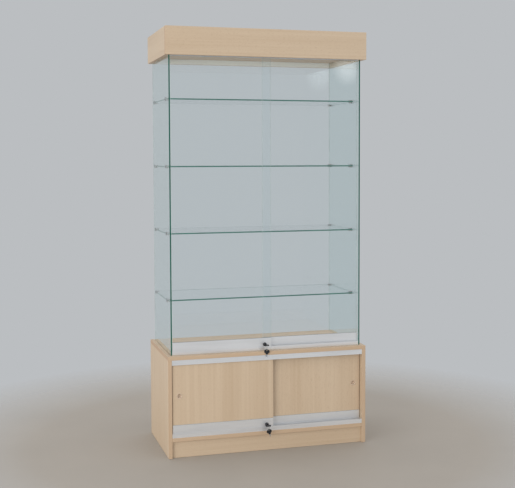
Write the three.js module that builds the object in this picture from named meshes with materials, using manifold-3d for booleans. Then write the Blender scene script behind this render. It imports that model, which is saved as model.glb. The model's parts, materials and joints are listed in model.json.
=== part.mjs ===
// A shop display case: a laminated cupboard with sliding doors, a glass showcase above it with four
// glass shelves and sliding glass doors, and a laminated canopy with two downlights on top.
// Units are millimetres. +X is the case's right, +Y its back and +Z up. The origin is on the floor
// under the middle of the case.

import * as THREE from 'three';
import { mergeVertices } from 'three/addons/utils/BufferGeometryUtils.js';
import Module from 'manifold-3d';

const wasm = await Module();
wasm.setup();

// ---------------------------------------------------------------- driving dimensions

// The whole case
const overallWidth = 980;
const overallDepth = 480;
const overallHeight = 2000;
const boardThickness = 18;

// Cupboard base
const deckHeight = 480; // floor to the top of the display deck
const plinthHeight = 78;
const plinthSetback = 12; // behind the case's front face
const cupboardBackThickness = 8;

// Glass showcase
const paneThickness = 6;
const paneInset = 19.5; // from the case's side or back face to the pane's outer face
const paneSetback = 32; // from the case's front face to the side panes' front edges
const paneCornerGap = 0.5; // sealant joint between the back pane and each side pane
const grooveDepth = 8;
const grooveClearance = 0.5;

// Shelves
const shelfThickness = 6;
const shelfSetback = 105; // from the case's front face to the shelves' front edges
const shelfBackGap = 4;
const shelfSideGap = 3;
const lowestShelf = 244; // from the deck to the underside of the lowest shelf
const shelfPitch = 316;
const shelfCount = 4;

// Shelf clips
const clipLength = 18;
const clipRadius = 7;
const clipDiscRadius = 9;
const clipDiscThickness = 3;
const clipSeatGap = 0.3; // all round the shelf in a clip's slot
const clipEndInset = 22; // from a shelf's front or back edge to a clip's centre

// Canopy
const canopyHeight = 130;
const soffitRecess = 24; // from the canopy's lower edge up to the soffit
const downlightSpacing = 480;
const downlightRadius = 29;
const downlightClearance = 0.5;
const downlightFlange = 6;
const downlightFlangeThickness = 2.5;
const downlightCanHeight = 46;
const downlightLensRecess = 5;
const glandRadius = 8;
const glandBoreRadius = 4;
const glandFlange = 4;
const glandFlangeThickness = 3;
const glandInset = 120; // from the case's left face
const glandClearance = 0.3;

// Both pairs of sliding doors
const sideGap = 3; // between a closed door and the side that it closes against
const doorOverlap = 38;
const doorEntry = 6; // how far a door's top edge stands up into the top track
const runnerGap = 2; // between a shoe and the floor of its track
const webThickness = 2; // of the shoe's web, which the door stands on

// Cupboard doors
const cupboardDoor = {
  thickness: 16,
  shoeWall: 1.75,
  shoeFit: 0.25,
  shoeShow: 38, // the shoe's height above the bottom track's lip
  shoeGrip: 14, // how deep the door stands in its shoe
  laneClearance: 1,
  trackWall: 2,
  trackSetback: 2,
  bottomTrackHeight: 21,
  topTrackHeight: 24,
};

// Glass doors
const glassDoor = {
  thickness: 5,
  shoeWall: 1.5,
  shoeFit: 0.5,
  shoeShow: 40,
  shoeGrip: 12,
  laneClearance: 0.75,
  trackWall: 1.5,
  trackSetback: 33,
  bottomTrackHeight: 18,
  topTrackHeight: soffitRecess,
};

// Finger cups in the cupboard doors
const cupRadius = 11;
const cupWall = 1.5;
const cupDepth = 11;
const cupFlange = 2;
const cupFlangeThickness = 1;
const cupInset = 33; // from the door's outer edge to the cup's centre
const cupClearance = 0.3;

// Push locks in the left doors' shoes, with a key in each
const lockInset = 33; // from the left door's right edge
const lockRise = 9.5; // from the bottom track's lip to the lock's axis
const lockTravel = 7;
const barrelRadius = 7;
const barrelProud = 14; // in front of the shoe, unlocked
const barrelClearance = 0.3;
const boltRadius = 3.5;
const boltSetback = 0.5; // the bolt's tip behind the shoe's rear face, unlocked
const boltHoleRadius = 5;
const plugRadius = 4.5;
const plugLength = 12;
const plugClearance = 0.3;
const keywayWidth = 6.6;
const keywayHeight = 2.4;
const keyClearance = 0.3;
const keyBowWidth = 26;
const keyBowDepth = 24;
const keyBowThickness = 3.4;
const keyNeckWidth = 9;
const keyNeckLength = 4;
const keyShoulderGap = 0.5; // between the key's neck and the barrel
const keyHoleRadius = 2.6;
const keyHoleInset = 6; // from the bow's end to the hole's centre

// How round a circle is drawn
const smallSides = 24;
const cupSides = 32;
const lampSides = 40;

// ---------------------------------------------------------------- planes that pieces share

const left = -overallWidth / 2;
const right = overallWidth / 2;
const front = -overallDepth / 2;
const back = overallDepth / 2;

const innerLeft = left + boardThickness;
const innerRight = right - boardThickness;
const deckUnderside = deckHeight - boardThickness;
const cupboardFloor = plinthHeight + boardThickness;
const cupboardBackFace = back - cupboardBackThickness;

const canopyUnderside = overallHeight - canopyHeight;
const soffitUnderside = canopyUnderside + soffitRecess;
const lidUnderside = overallHeight - boardThickness;

const paneLeft = left + paneInset; // outer face of the left pane
const paneRight = right - paneInset;
const paneBack = back - paneInset; // outer face of the back pane
const paneBottom = deckHeight - grooveDepth;
const paneTop = soffitUnderside + grooveDepth;
const showcaseLeft = paneLeft + paneThickness;
const showcaseRight = paneRight - paneThickness;
const showcaseBack = paneBack - paneThickness;

const overshoot = 1; // how far a cutting tool passes a face that it cuts through

// ---------------------------------------------------------------- finishes

const finishes = {
  laminate: new THREE.MeshStandardMaterial({ color: 0xd3b78f, roughness: 0.55, metalness: 0 }),
  backboard: new THREE.MeshStandardMaterial({ color: 0xd8c6a8, roughness: 0.7, metalness: 0 }),
  glass: new THREE.MeshStandardMaterial({
    color: 0xbfd8d2, roughness: 0.05, metalness: 0, transparent: true, opacity: 0.3,
  }),
  aluminium: new THREE.MeshStandardMaterial({ color: 0xc4c9cf, roughness: 0.35, metalness: 0.9 }),
  clip: new THREE.MeshStandardMaterial({ color: 0x8e9498, roughness: 0.3, metalness: 1 }),
  lock: new THREE.MeshStandardMaterial({ color: 0x2c2d30, roughness: 0.25, metalness: 1 }),
  keyPlastic: new THREE.MeshStandardMaterial({ color: 0x16191c, roughness: 0.45, metalness: 0 }),
  cup: new THREE.MeshStandardMaterial({ color: 0xb79f80, roughness: 0.5, metalness: 0 }),
  lamp: new THREE.MeshStandardMaterial({ color: 0xe6e6e2, roughness: 0.4, metalness: 0.1 }),
  gland: new THREE.MeshStandardMaterial({ color: 0x2a2c2e, roughness: 0.6, metalness: 0 }),
};

const displayCase = new THREE.Group();

function add(name, geometry, finish) {
  const mesh = new THREE.Mesh(geometry, finishes[finish]);
  mesh.name = name;
  displayCase.add(mesh);
}

// ---------------------------------------------------------------- shapes

// A box between two corners. Its corners are set one by one, so that neighbours share exact faces.
function slab([x0, x1], [y0, y1], [z0, z1]) {
  const geometry = new THREE.BoxGeometry(1, 1, 1);
  const position = geometry.attributes.position;
  for (let i = 0; i < position.count; i += 1) {
    position.setXYZ(
      i,
      position.getX(i) < 0 ? x0 : x1,
      position.getY(i) < 0 ? y0 : y1,
      position.getZ(i) < 0 ? z0 : z1,
    );
  }
  return geometry;
}

// A profile of [y, z] corners, drawn out along X.
function drawnProfile(corners, x0, x1) {
  const shape = new THREE.Shape(corners.map(([y, z]) => new THREE.Vector2(y, z)));
  const geometry = new THREE.ExtrudeGeometry(shape, { depth: 1, bevelEnabled: false });
  const position = geometry.attributes.position;
  for (let i = 0; i < position.count; i += 1) {
    const [y, z, along] = [position.getX(i), position.getY(i), position.getZ(i)];
    position.setXYZ(i, along < 0.5 ? x0 : x1, y, z);
  }
  return geometry;
}

// A turned piece about a line along Y through (x, z). Its outline is [radius, y] corners.
function turnedAlongY(outline, x, z, sides) {
  const points = outline.map(([radius, y]) => new THREE.Vector2(radius, y));
  return new THREE.LatheGeometry(points, sides).translate(x, 0, z);
}

// A turned piece about a line along Z through (x, y). Its outline is [radius, z] corners.
function turnedAlongZ(outline, x, y, sides) {
  const points = outline.map(([radius, z]) => new THREE.Vector2(radius, z));
  return new THREE.LatheGeometry(points, sides).rotateX(Math.PI / 2).translate(x, y, 0);
}

function rod(radius, from, to) {
  return [[0, from], [radius, from], [radius, to], [0, to]];
}

// ---------------------------------------------------------------- cutting and joining

function toSolid(geometry) {
  const bare = geometry.clone();
  bare.deleteAttribute('normal');
  bare.deleteAttribute('uv');
  const merged = mergeVertices(bare, 1e-5);
  return new wasm.Manifold(new wasm.Mesh({
    numProp: 3,
    vertProperties: new Float32Array(merged.attributes.position.array),
    triVerts: new Uint32Array(merged.index.array),
  }));
}

function toGeometry(solid) {
  const mesh = solid.getMesh();
  const geometry = new THREE.BufferGeometry();
  geometry.setAttribute('position', new THREE.BufferAttribute(mesh.vertProperties, 3));
  geometry.setIndex(new THREE.BufferAttribute(mesh.triVerts, 1));
  return geometry;
}

function cut(blank, tools) {
  return toGeometry(tools.reduce((solid, tool) => solid.subtract(toSolid(tool)), toSolid(blank)));
}

function join(first, others) {
  return toGeometry(others.reduce((solid, other) => solid.add(toSolid(other)), toSolid(first)));
}

// ---------------------------------------------------------------- cupboard base

function addBase() {
  const depth = [front, back];
  const inside = [innerLeft, innerRight];
  add('base_side_left', slab([left, innerLeft], depth, [0, deckUnderside]), 'laminate');
  add('base_side_right', slab([innerRight, right], depth, [0, deckUnderside]), 'laminate');
  add('base_bottom', slab(inside, [front, cupboardBackFace], [plinthHeight, cupboardFloor]), 'laminate');
  add('base_back', slab(inside, [cupboardBackFace, back], [plinthHeight, deckUnderside]), 'backboard');
  addPlinth(inside);
}

function addPlinth(inside) {
  const height = [0, plinthHeight];
  const frontFace = front + plinthSetback;
  const rearFace = back - plinthSetback;
  const frontInner = frontFace + boardThickness;
  const rearInner = rearFace - boardThickness;
  const bearer = [-boardThickness / 2, boardThickness / 2];
  add('plinth_front', slab(inside, [frontFace, frontInner], height), 'laminate');
  add('plinth_back', slab(inside, [rearInner, rearFace], height), 'laminate');
  add('plinth_bearer', slab(bearer, [frontInner, rearInner], height), 'laminate');
}

// The deck has three grooves that the panes stand in.
function addDeck() {
  const blank = slab([left, right], [front, back], [deckUnderside, deckHeight]);
  const groove = [paneBottom, deckHeight + overshoot];
  const grooveBack = paneBack + grooveClearance;
  const sideRun = [front + paneSetback - grooveClearance, grooveBack];
  add('display_deck', cut(blank, [
    slab([paneLeft - grooveClearance, showcaseLeft + grooveClearance], sideRun, groove),
    slab([showcaseRight - grooveClearance, paneRight + grooveClearance], sideRun, groove),
    slab([showcaseLeft, showcaseRight], [showcaseBack - grooveClearance, grooveBack], groove),
  ]), 'laminate');
}

// ---------------------------------------------------------------- fixed glass

function addPanes() {
  const height = [paneBottom, paneTop];
  const sideRun = [front + paneSetback, paneBack];
  const backRun = [showcaseLeft + paneCornerGap, showcaseRight - paneCornerGap];
  add('glass_side_left', slab([paneLeft, showcaseLeft], sideRun, height), 'glass');
  add('glass_side_right', slab([showcaseRight, paneRight], sideRun, height), 'glass');
  add('glass_back', slab(backRun, [showcaseBack, paneBack], height), 'glass');
}

// ---------------------------------------------------------------- shelves and their clips

// A clip is a disc on the side pane and a stub with a slot that holds the shelf's edge. It is
// turned about its own Y axis, then laid along X, pointing into the case.
function clipGeometry(side, y, shelfUnderside) {
  const stub = rod(clipRadius, clipDiscThickness, clipLength);
  const outline = [[0, 0], [clipDiscRadius, 0], [clipDiscRadius, clipDiscThickness], ...stub.slice(1)];
  const paneFace = side < 0 ? showcaseLeft : showcaseRight;
  const middle = shelfUnderside + shelfThickness / 2;
  const turned = turnedAlongY(outline, 0, 0, smallSides).rotateZ(side * Math.PI / 2);
  const slotStart = paneFace - side * (shelfSideGap - clipSeatGap);
  const slotEnd = paneFace - side * (clipLength + overshoot);
  return cut(turned.translate(paneFace, y, middle), [slab(
    [Math.min(slotStart, slotEnd), Math.max(slotStart, slotEnd)],
    [y - clipDiscRadius - overshoot, y + clipDiscRadius + overshoot],
    [shelfUnderside - clipSeatGap, shelfUnderside + shelfThickness + clipSeatGap],
  )]);
}

function addShelves() {
  const across = [showcaseLeft + shelfSideGap, showcaseRight - shelfSideGap];
  const shelfFront = front + shelfSetback;
  const shelfBack = showcaseBack - shelfBackGap;
  const sides = [['left', -1], ['right', 1]];
  const ends = [['front', shelfFront + clipEndInset], ['back', shelfBack - clipEndInset]];
  for (let i = 0; i < shelfCount; i += 1) {
    const underside = deckHeight + lowestShelf + i * shelfPitch;
    const height = [underside, underside + shelfThickness];
    add(`shelf_${i + 1}`, slab(across, [shelfFront, shelfBack], height), 'glass');
    for (const [sideName, side] of sides) {
      for (const [endName, y] of ends) {
        add(`shelf_${i + 1}_clip_${sideName}_${endName}`, clipGeometry(side, y, underside), 'clip');
      }
    }
  }
}

// ---------------------------------------------------------------- sliding doors

// Where a pair of doors, their shoes and their tracks stand. The left door runs in the front lane.
function planDoors(door, floor, ceiling, leftFace, rightFace) {
  const shoeDepth = door.thickness + 2 * (door.shoeFit + door.shoeWall);
  const laneDepth = shoeDepth + 2 * door.laneClearance;
  const trackFront = front + door.trackSetback;
  const frontShoe = trackFront + door.trackWall + door.laneClearance;
  const lipTop = floor + door.bottomTrackHeight;
  const shoeTop = lipTop + door.shoeShow;
  const width = (rightFace - leftFace - 2 * sideGap + doorOverlap) / 2;
  const leftDoor = [leftFace + sideGap, leftFace + sideGap + width];
  const rightDoor = [rightFace - sideGap - width, rightFace - sideGap];
  return {
    ...door,
    floor,
    ceiling,
    leftFace,
    rightFace,
    shoeDepth,
    laneDepth,
    trackFront,
    lipTop,
    shoeTop,
    doorBottom: shoeTop - door.shoeGrip,
    doorTop: ceiling - door.topTrackHeight + doorEntry,
    lockX: leftDoor[1] - lockInset,
    lockZ: lipTop + lockRise,
    leaves: [
      { side: 'left', across: leftDoor, shoeFront: frontShoe },
      { side: 'right', across: rightDoor, shoeFront: frontShoe + laneDepth + door.trackWall },
    ],
  };
}

// A double channel. Its base lies at seat and its three walls stand up or hang down to lip.
function channelProfile(plan, seat, lip) {
  const wall = plan.trackWall;
  const floor = seat + Math.sign(lip - seat) * wall;
  const y0 = plan.trackFront;
  const y1 = y0 + wall + plan.laneDepth;
  const y2 = y1 + wall + plan.laneDepth;
  const y3 = y2 + wall;
  return [
    [y0, seat], [y3, seat], [y3, lip], [y2, lip], [y2, floor], [y1 + wall, floor],
    [y1 + wall, lip], [y1, lip], [y1, floor], [y0 + wall, floor], [y0 + wall, lip], [y0, lip],
  ];
}

// A shoe is a drawn H: the door stands in its upper half, and its lower half runs in the track.
function shoeProfile(plan, shoeFront) {
  const bottom = plan.floor + plan.trackWall + runnerGap;
  const webTop = plan.doorBottom;
  const webUnderside = webTop - webThickness;
  const y0 = shoeFront;
  const y1 = y0 + plan.shoeWall;
  const y3 = y0 + plan.shoeDepth;
  const y2 = y3 - plan.shoeWall;
  return [
    [y0, bottom], [y1, bottom], [y1, webUnderside], [y2, webUnderside], [y2, bottom], [y3, bottom],
    [y3, plan.shoeTop], [y2, plan.shoeTop], [y2, webTop], [y1, webTop], [y1, plan.shoeTop],
    [y0, plan.shoeTop],
  ];
}

// The left shoe is bored for the lock's barrel, and the right shoe's front wall for its bolt.
function shoeGeometry(plan, leaf) {
  const blank = drawnProfile(shoeProfile(plan, leaf.shoeFront), ...leaf.across);
  const isLeft = leaf.side === 'left';
  const radius = isLeft ? barrelRadius + barrelClearance : boltHoleRadius;
  const depth = isLeft ? plan.shoeDepth : plan.shoeWall;
  const bore = rod(radius, leaf.shoeFront - overshoot, leaf.shoeFront + depth + overshoot);
  return cut(blank, [turnedAlongY(bore, plan.lockX, plan.lockZ, smallSides)]);
}

function addTracks(name, plan) {
  const run = [plan.leftFace, plan.rightFace];
  const bottom = channelProfile(plan, plan.floor, plan.lipTop);
  const top = channelProfile(plan, plan.ceiling, plan.ceiling - plan.topTrackHeight);
  add(`${name}_track_bottom`, drawnProfile(bottom, ...run), 'aluminium');
  add(`${name}_track_top`, drawnProfile(top, ...run), 'aluminium');
}

function leafFace(plan, leaf) {
  return leaf.shoeFront + plan.shoeWall + plan.shoeFit;
}

function leafSlab(plan, leaf) {
  const face = leafFace(plan, leaf);
  return slab(leaf.across, [face, face + plan.thickness], [plan.doorBottom, plan.doorTop]);
}

function addShoes(name, plan) {
  for (const leaf of plan.leaves) {
    add(`${name}_shoe_${leaf.side}`, shoeGeometry(plan, leaf), 'aluminium');
  }
}

function addGlassDoors(plan) {
  addTracks('glass', plan);
  addShoes('glass', plan);
  for (const leaf of plan.leaves) {
    add(`glass_door_${leaf.side}`, leafSlab(plan, leaf), 'glass');
  }
}

// Each cupboard door has a round finger cup let into its face, near its outer edge.
function addCupboardDoors(plan) {
  addTracks('cupboard', plan);
  addShoes('cupboard', plan);
  const z = (plan.doorBottom + plan.doorTop) / 2;
  for (const leaf of plan.leaves) {
    const x = leaf.side === 'left' ? leaf.across[0] + cupInset : leaf.across[1] - cupInset;
    const face = leafFace(plan, leaf);
    const hole = rod(cupRadius + cupClearance, face - overshoot, face + cupDepth + cupClearance);
    const door = cut(leafSlab(plan, leaf), [turnedAlongY(hole, x, z, cupSides)]);
    add(`cupboard_door_${leaf.side}`, door, 'laminate');
    add(`finger_cup_${leaf.side}`, cupGeometry(x, face, z), 'cup');
  }
}

function cupGeometry(x, face, z) {
  const lip = face - cupFlangeThickness;
  const inner = cupRadius - cupWall;
  return turnedAlongY([
    [0, face + cupDepth - cupWall], [inner, face + cupDepth - cupWall], [inner, lip],
    [cupRadius + cupFlange, lip], [cupRadius + cupFlange, face], [cupRadius, face],
    [cupRadius, face + cupDepth], [0, face + cupDepth],
  ], x, z, cupSides);
}

// ---------------------------------------------------------------- locks

// The barrel is pushed in to lock. Its bolt then enters the bolt hole in the right door's shoe.
// The plug turns in the barrel with the key, which stands flat, as its keyway does.
function addLock(name, plan) {
  const shoeFront = plan.leaves[0].shoeFront;
  const shoeRear = shoeFront + plan.shoeDepth;
  const barrelFront = shoeFront - barrelProud;
  const shoulder = shoeRear - lockTravel;
  const boreFloor = barrelFront + plugLength + plugClearance;
  const bore = plugRadius + plugClearance;
  add(`${name}_lock_barrel`, turnedAlongY([
    [0, boreFloor], [bore, boreFloor], [bore, barrelFront], [barrelRadius, barrelFront],
    [barrelRadius, shoulder], [boltRadius, shoulder], [boltRadius, shoeRear - boltSetback],
    [0, shoeRear - boltSetback],
  ], plan.lockX, plan.lockZ, smallSides), 'lock');

  const plug = rod(plugRadius, barrelFront, barrelFront + plugLength);
  const keyway = slab(
    [plan.lockX - keywayWidth / 2, plan.lockX + keywayWidth / 2],
    [barrelFront - overshoot, barrelFront + plugLength - keyShoulderGap],
    [plan.lockZ - keywayHeight / 2, plan.lockZ + keywayHeight / 2],
  );
  add(`${name}_lock_plug`, cut(turnedAlongY(plug, plan.lockX, plan.lockZ, smallSides), [keyway]), 'lock');
  add(`${name}_key`, keyGeometry(plan, barrelFront), 'keyPlastic');
}

// The key's bow is an oval plate with a hole for a ring, joined by its neck to the blade.
function keyGeometry(plan, barrelFront) {
  const neckEnd = barrelFront - keyShoulderGap;
  const bowBack = neckEnd - keyNeckLength;
  const bowFront = bowBack - keyBowDepth;
  const bladeWidth = keywayWidth - 2 * keyClearance;
  const bladeHeight = keywayHeight - 2 * keyClearance;
  const bladeEnd = barrelFront + plugLength - keyShoulderGap - keyClearance;
  const plate = [plan.lockZ - keyBowThickness / 2, plan.lockZ + keyBowThickness / 2];

  const oval = new THREE.Shape();
  oval.absellipse(plan.lockX, (bowFront + bowBack) / 2, keyBowWidth / 2, keyBowDepth / 2, 0, 2 * Math.PI);
  const hole = new THREE.Path();
  hole.absellipse(plan.lockX, bowFront + keyHoleInset, keyHoleRadius, keyHoleRadius, 0, 2 * Math.PI);
  oval.holes.push(hole);
  const bow = new THREE.ExtrudeGeometry(oval, {
    depth: keyBowThickness, bevelEnabled: false, curveSegments: smallSides / 2,
  }).translate(0, 0, plate[0]);

  const neck = slab(
    [plan.lockX - keyNeckWidth / 2, plan.lockX + keyNeckWidth / 2],
    [bowBack - keyNeckLength / 2, neckEnd],
    plate,
  );
  const blade = slab(
    [plan.lockX - bladeWidth / 2, plan.lockX + bladeWidth / 2],
    [bowBack, bladeEnd],
    [plan.lockZ - bladeHeight / 2, plan.lockZ + bladeHeight / 2],
  );
  return join(bow, [neck, blade]);
}

// ---------------------------------------------------------------- canopy

function addCanopy() {
  const height = [canopyUnderside, overallHeight];
  const frontInner = front + boardThickness;
  const backInner = back - boardThickness;
  const run = [frontInner, back];
  const inside = [innerLeft, innerRight];
  add('canopy_front', slab([left, right], [front, frontInner], height), 'laminate');
  add('canopy_left', slab([left, innerLeft], run, height), 'laminate');
  add('canopy_right', slab([innerRight, right], run, height), 'laminate');
  add('canopy_top', slab(inside, [frontInner, backInner], [lidUnderside, overallHeight]), 'laminate');
  addCanopyBack(inside, [backInner, back], height);
  addSoffit(inside, [frontInner, backInner]);
}

// The lead's gland is let into the canopy's back board, with its flange inside.
function addCanopyBack(across, thickness, height) {
  const x = left + glandInset;
  const z = (soffitUnderside + boardThickness + lidUnderside) / 2;
  const [inner, outer] = thickness;
  const hole = rod(glandRadius + glandClearance, inner - overshoot, outer + overshoot);
  const bored = cut(slab(across, thickness, height), [turnedAlongY(hole, x, z, smallSides)]);
  add('canopy_back', bored, 'laminate');
  const flangeFace = inner - glandFlangeThickness;
  const ring = [
    [glandBoreRadius, flangeFace], [glandRadius + glandFlange, flangeFace],
    [glandRadius + glandFlange, inner], [glandRadius, inner], [glandRadius, outer],
    [glandBoreRadius, outer], [glandBoreRadius, flangeFace],
  ];
  add('lead_gland', turnedAlongY(ring, x, z, smallSides), 'gland');
}

// The soffit rests on the panes: its underside is rebated over their top edges. The downlights
// are let into it from below.
function addSoffit(across, run) {
  const rebate = [soffitUnderside - overshoot, paneTop];
  const past = ([low, high]) => [low - overshoot, high + overshoot];
  const lampY = (front + paneSetback + paneBack) / 2;
  const lampPlaces = [['left', -downlightSpacing / 2], ['right', downlightSpacing / 2]];
  const blank = slab(across, run, [soffitUnderside, soffitUnderside + boardThickness]);
  const holes = lampPlaces.map(([, x]) => turnedAlongZ(
    rod(
      downlightRadius + downlightClearance,
      soffitUnderside - overshoot,
      soffitUnderside + boardThickness + overshoot,
    ),
    x,
    lampY,
    lampSides,
  ));
  add('canopy_soffit', cut(blank, [
    slab([across[0] - overshoot, showcaseLeft + grooveClearance], past(run), rebate),
    slab([showcaseRight - grooveClearance, across[1] + overshoot], past(run), rebate),
    slab(past(across), [showcaseBack - grooveClearance, run[1] + overshoot], rebate),
    ...holes,
  ]), 'laminate');
  for (const [side, x] of lampPlaces) {
    add(`downlight_${side}`, downlightGeometry(x, lampY), 'lamp');
  }
}

// A downlight is a can with a flange under the soffit, hollowed from below to its lens.
function downlightGeometry(x, y) {
  const flangeRadius = downlightRadius + downlightFlange;
  const flangeBottom = soffitUnderside - downlightFlangeThickness;
  const lensRadius = downlightRadius - downlightFlange / 2;
  return turnedAlongZ([
    [0, flangeBottom + downlightLensRecess], [lensRadius, flangeBottom + downlightLensRecess],
    [downlightRadius, flangeBottom], [flangeRadius, flangeBottom], [flangeRadius, soffitUnderside],
    [downlightRadius, soffitUnderside], [downlightRadius, flangeBottom + downlightCanHeight],
    [0, flangeBottom + downlightCanHeight],
  ], x, y, lampSides);
}

// ---------------------------------------------------------------- the whole case

addBase();
addDeck();
addPanes();
addShelves();

const cupboardPlan = planDoors(cupboardDoor, cupboardFloor, deckUnderside, innerLeft, innerRight);
addCupboardDoors(cupboardPlan);
addLock('cupboard', cupboardPlan);

const glassPlan = planDoors(glassDoor, deckHeight, soffitUnderside, showcaseLeft, showcaseRight);
addGlassDoors(glassPlan);
addLock('glass', glassPlan);

addCanopy();

export default displayCase;
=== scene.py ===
"""Finishes a glass display case for a shop and sets it in a pale studio.

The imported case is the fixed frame. Its boards and aluminium profiles keep their own meshes and get
rounded edges and procedural finishes. The glass, shelf clips, finger cups, locks, keys,
downlights and lead gland are modelled here in finer detail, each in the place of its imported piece.
Sizes are in metres, in the frame's own axes: +X right, +Y back and +Z up.
"""

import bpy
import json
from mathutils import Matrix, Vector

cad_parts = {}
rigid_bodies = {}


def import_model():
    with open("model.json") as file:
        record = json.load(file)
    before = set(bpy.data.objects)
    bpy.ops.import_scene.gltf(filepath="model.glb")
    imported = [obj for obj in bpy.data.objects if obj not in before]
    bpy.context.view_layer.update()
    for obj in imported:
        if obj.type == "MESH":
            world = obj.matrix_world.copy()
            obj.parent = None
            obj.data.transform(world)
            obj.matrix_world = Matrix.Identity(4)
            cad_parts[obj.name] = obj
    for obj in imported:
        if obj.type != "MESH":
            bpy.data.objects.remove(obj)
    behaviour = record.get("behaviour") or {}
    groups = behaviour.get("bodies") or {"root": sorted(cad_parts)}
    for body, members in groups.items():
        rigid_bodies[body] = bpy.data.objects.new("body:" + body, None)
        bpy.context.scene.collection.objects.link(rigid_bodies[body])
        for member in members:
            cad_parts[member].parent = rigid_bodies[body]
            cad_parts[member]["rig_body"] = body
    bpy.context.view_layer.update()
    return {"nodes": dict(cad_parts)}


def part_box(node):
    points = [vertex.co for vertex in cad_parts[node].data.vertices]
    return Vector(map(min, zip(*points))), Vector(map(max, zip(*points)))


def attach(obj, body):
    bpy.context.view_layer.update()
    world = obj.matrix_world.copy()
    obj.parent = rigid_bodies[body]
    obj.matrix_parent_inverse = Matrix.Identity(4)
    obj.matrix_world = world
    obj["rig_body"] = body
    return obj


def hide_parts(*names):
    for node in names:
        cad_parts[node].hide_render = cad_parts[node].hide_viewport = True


bl_info = {
    "name": "Glass Display Case",
    "version": (1, 0, 0),
    "blender": (4, 5, 0),
    "location": "3D View > Sidebar > Display Case",
    "description": "Finishes the boards, glass, tracks, locks and lamps of a shop display case",
    "category": "Object",
}

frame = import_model()

import json
import math

import bmesh
import bpy
from bpy.props import FloatProperty, FloatVectorProperty, PointerProperty
from mathutils import Matrix, Vector

MM = 0.001
X_AXIS = Vector((1, 0, 0))
Y_AXIS = Vector((0, 1, 0))
Z_AXIS = Vector((0, 0, 1))
ROUND_SIDES = 64
FINE_SIDES = 48
TOUCHING = 0.01 * MM  # corners nearer than this are one corner
SHARP_ANGLE = math.radians(32)  # edges sharper than this are rounded
SMOOTH_ANGLE = math.radians(35)  # edges flatter than this are shaded smooth


def from_srgb(red, green, blue):
    """A colour of three values from 0 to 255, as the linear values that shaders take."""
    shares = [value / 255 for value in (red, green, blue)]
    return tuple(
        share / 12.92 if share <= 0.04045 else ((share + 0.055) / 1.055) ** 2.4
        for share in shares
    )


# ------------------------------------------------------------------ settings


def colour_property(name, description, default):
    return FloatVectorProperty(
        name=name, description=description, subtype="COLOR", size=3, min=0, max=1, default=default
    )


def length_property(name, description, default):
    return FloatProperty(
        name=name, description=description, unit="LENGTH", min=0, precision=5, default=default
    )


def share_property(name, description, default):
    return FloatProperty(
        name=name, description=description, subtype="FACTOR", min=0, max=1, default=default
    )


class BoardSettings(bpy.types.PropertyGroup):
    """Finish of the laminated boards."""

    light: colour_property(
        "Light wood", "Ground colour of the beech pattern", from_srgb(208, 187, 161)
    )
    dark: colour_property("Dark wood", "Colour of the pattern's streaks", from_srgb(189, 164, 135))
    fleck: colour_property("Fleck", "Colour of the short dashes", from_srgb(163, 132, 102))
    band: colour_property("Edge band", "Colour of the edge banding", from_srgb(190, 160, 130))
    # Painted light: a pale colour given to the canopy back's inward face, which lies in shade.
    pale: colour_property("Painted light inside", "Colour inside the canopy's back", from_srgb(232, 232, 224))
    edge_radius: length_property("Edge radius", "Rounding of the banded edges", 1.0 * MM)
    roughness: share_property("Roughness", "How matt the laminate is", 0.46)


class GlassSettings(bpy.types.PropertyGroup):
    """Finish of the panes, doors and shelves."""

    tint: colour_property("Tint", "Colour that a pane gives to light", (0.948, 0.978, 0.984))
    side_tint: colour_property("Side tint", "The same for the two side panes", (0.84, 0.93, 0.93))
    deep_edge: colour_property("Deep edge", "Colour of the side panes' edges", from_srgb(0, 92, 76))
    edge: colour_property("Edge", "Colour of the shelves' edges", from_srgb(58, 116, 104))
    pale_edge: colour_property("Pale edge", "Colour of the doors' edges", from_srgb(184, 199, 196))
    arris: length_property("Arris", "Width of the ground corner of each edge", 0.5 * MM)


class MetalSettings(bpy.types.PropertyGroup):
    """Finish of the aluminium and of the small metal parts."""

    aluminium: colour_property("Aluminium", "Colour of the anodised profiles", (0.92, 0.93, 0.945))
    nickel: colour_property("Nickel", "Colour of the clips and key blades", (0.62, 0.63, 0.64))
    # The locks are given a near black metal colour.
    dark_lock_metal: colour_property("Dark lock metal", "Colour of the locks", (0.11, 0.11, 0.12))
    profile_edge: length_property("Profile edge", "Rounding of the profiles' edges", 0.25 * MM)


class LockSettings(bpy.types.PropertyGroup):
    """Sizes of the keys and of what hangs from them."""

    bow_width: length_property("Bow width", "Width of a key's plastic head", 26 * MM)
    bow_depth: length_property("Bow depth", "Length of a key's plastic head", 20 * MM)
    bow_thickness: length_property("Bow thickness", "Thickness of a key's head", 4.2 * MM)
    hole_radius: length_property("Hole radius", "Radius of the hole in a key's head", 2.4 * MM)
    hole_inset: length_property("Hole inset", "Head's end to the hole's centre", 5.2 * MM)
    wire_radius: length_property("Wire radius", "Half the thickness of the wire loop", 0.65 * MM)
    loop_radius: length_property("Loop radius", "Radius of the wire loop's ends", 4.2 * MM)


class StageSettings(bpy.types.PropertyGroup):
    """Floor, background and light."""

    wall: colour_property("Background", "Colour behind the case", from_srgb(187, 190, 193))
    floor: colour_property("Floor", "Colour of the floor", from_srgb(176, 169, 160))
    sky_strength: FloatProperty(
        name="Ambient light", description="Strength of the even light", min=0, default=0.88
    )
    key_power: FloatProperty(
        name="Key light", description="Power of the large lamp", min=0, unit="POWER", default=190
    )
    window_power: FloatProperty(
        name="Window", description="Power of the small lamp", min=0, unit="POWER", default=0.68
    )


class DisplayCaseSettings(bpy.types.PropertyGroup):
    """All settings of the display case."""

    boards: PointerProperty(type=BoardSettings)
    glass: PointerProperty(type=GlassSettings)
    metal: PointerProperty(type=MetalSettings)
    locks: PointerProperty(type=LockSettings)
    stage: PointerProperty(type=StageSettings)


# ------------------------------------------------------------------ modelling by hand


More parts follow.
